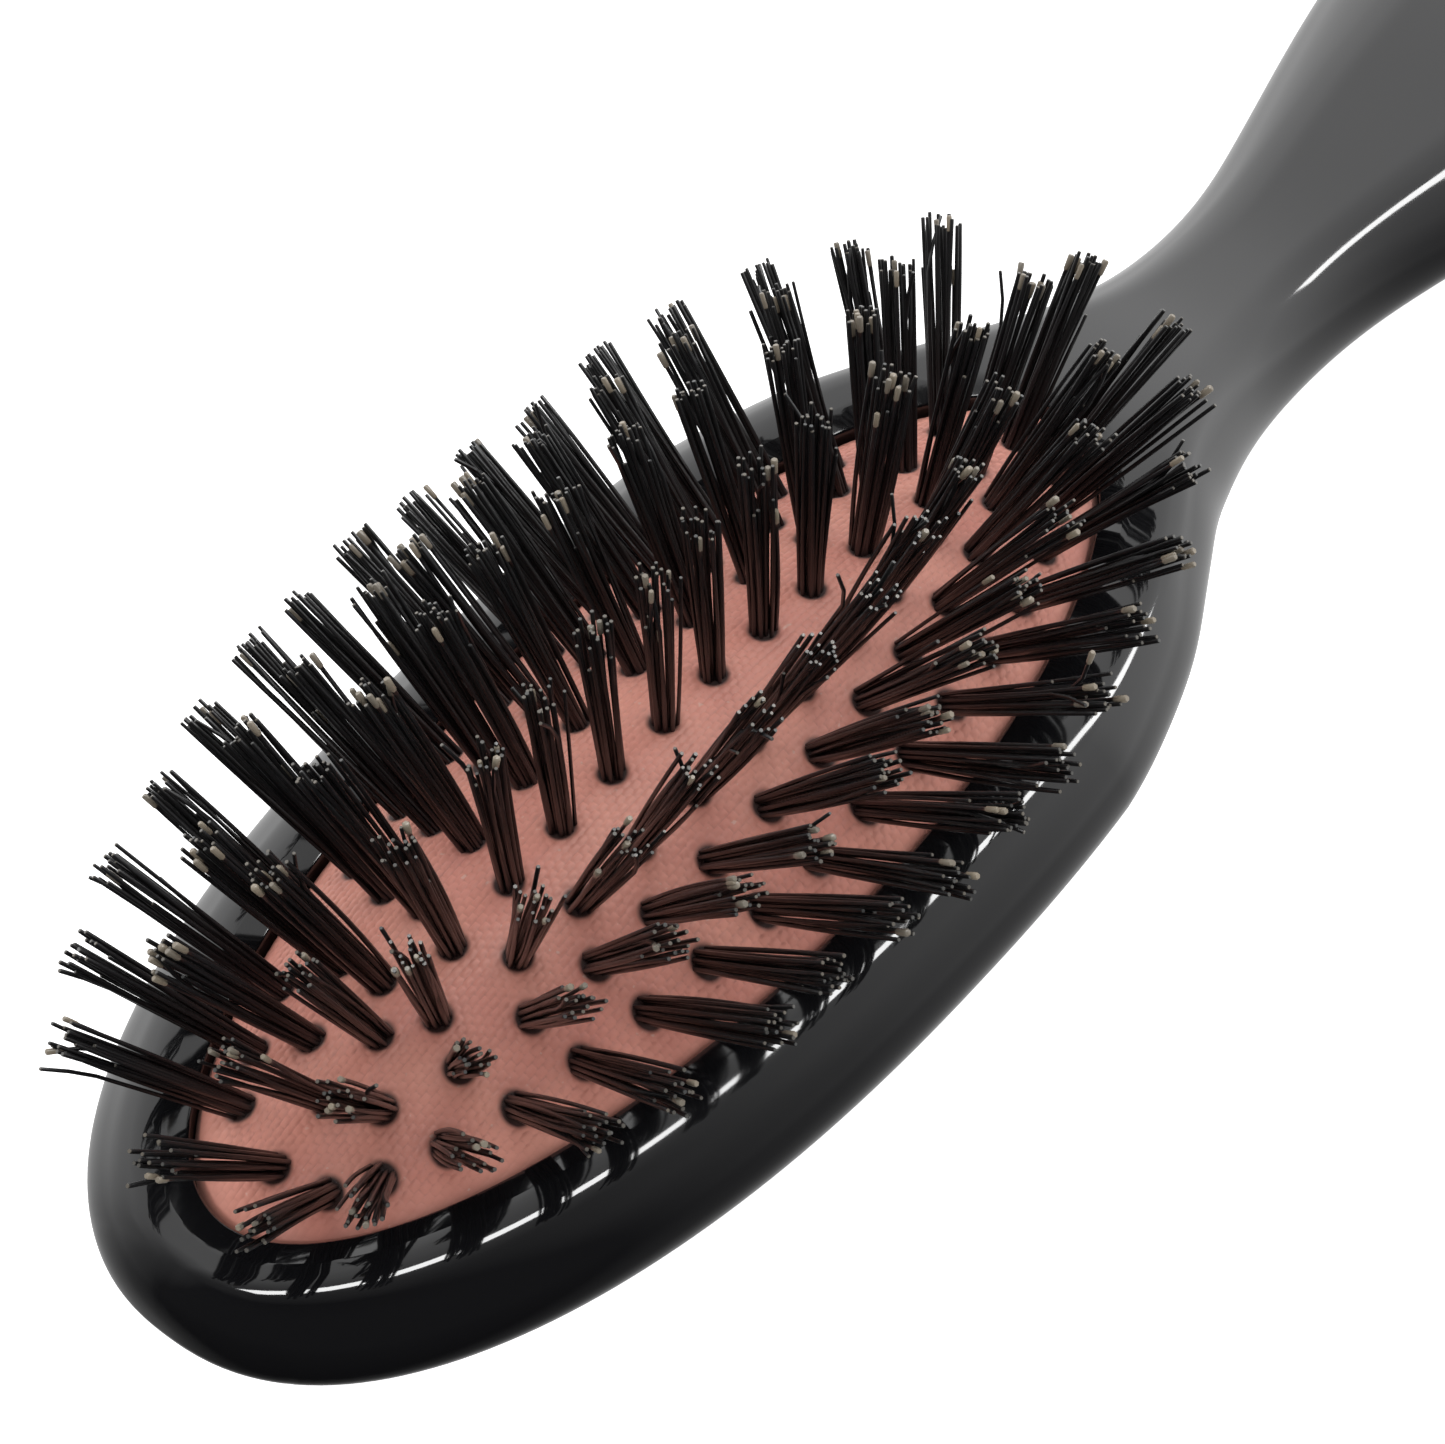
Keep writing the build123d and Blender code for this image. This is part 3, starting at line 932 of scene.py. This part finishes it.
def studio():
    """The room; matt surfaces are lit more evenly than the glossy ones that mirror it."""
    world = bpy.data.worlds.new("studio")
    world.use_nodes = True
    nodes = world.node_tree.nodes
    links = world.node_tree.links
    room = nodes["Background"]
    room.inputs["Strength"].default_value = SKY_STRENGTH
    links.new(room_colour(nodes, links), room.inputs["Color"])
    even = nodes.new("ShaderNodeBackground")
    even.inputs["Color"].default_value = (1.0, 1.0, 1.0, 1)
    even.inputs["Strength"].default_value = EVEN_STRENGTH
    path = nodes.new("ShaderNodeLightPath")
    share = half_and_half(nodes, links, path.outputs["Is Glossy Ray"])
    chosen = nodes.new("ShaderNodeMixShader")
    links.new(share, chosen.inputs["Fac"])
    links.new(even.outputs["Background"], chosen.inputs[1])
    links.new(room.outputs["Background"], chosen.inputs[2])
    links.new(chosen.outputs["Shader"], nodes["World Output"].inputs["Surface"])
    bpy.context.scene.world = world
    area_light("overhead", OVERHEAD_PLACE, OVERHEAD_TARGET, OVERHEAD_SIZE, OVERHEAD_RADIANCE)


def camera():
    """A long lens that looks down along the brush from beyond the head's tip."""
    view = bpy.data.cameras.new("camera")
    view.lens = CAMERA_LENS
    view.sensor_width = CAMERA_SENSOR
    view.clip_start = 0.01
    holder = bpy.data.objects.new("camera", view)
    back = Vector(CAMERA_BACK).normalized()
    up = back.cross(Vector(CAMERA_RIGHT)).normalized()
    right = up.cross(back)
    turn = Matrix((right, up, back)).transposed()
    holder.matrix_world = Matrix.Translation(CAMERA_PLACE) @ turn.to_4x4()
    bpy.context.scene.collection.objects.link(holder)
    bpy.context.scene.camera = holder


plastic = black_plastic()
rubber = cushion_rubber()
cloth = lining_cloth()
hair = bristle()
wire = anchor_wire()

head_and_handle(plastic)
rubber_pad(rubber)
cloth_lining(cloth)
for node in tuft_nodes:
    bristle_node(node, hair)
for node, piece in frame["nodes"].items():
    if node.startswith("anchors_"):
        set_material(piece, wire)

floor()
studio()
camera()
scene = bpy.context.scene
scene.view_settings.view_transform = "Standard"
scene.cycles.use_denoising = True
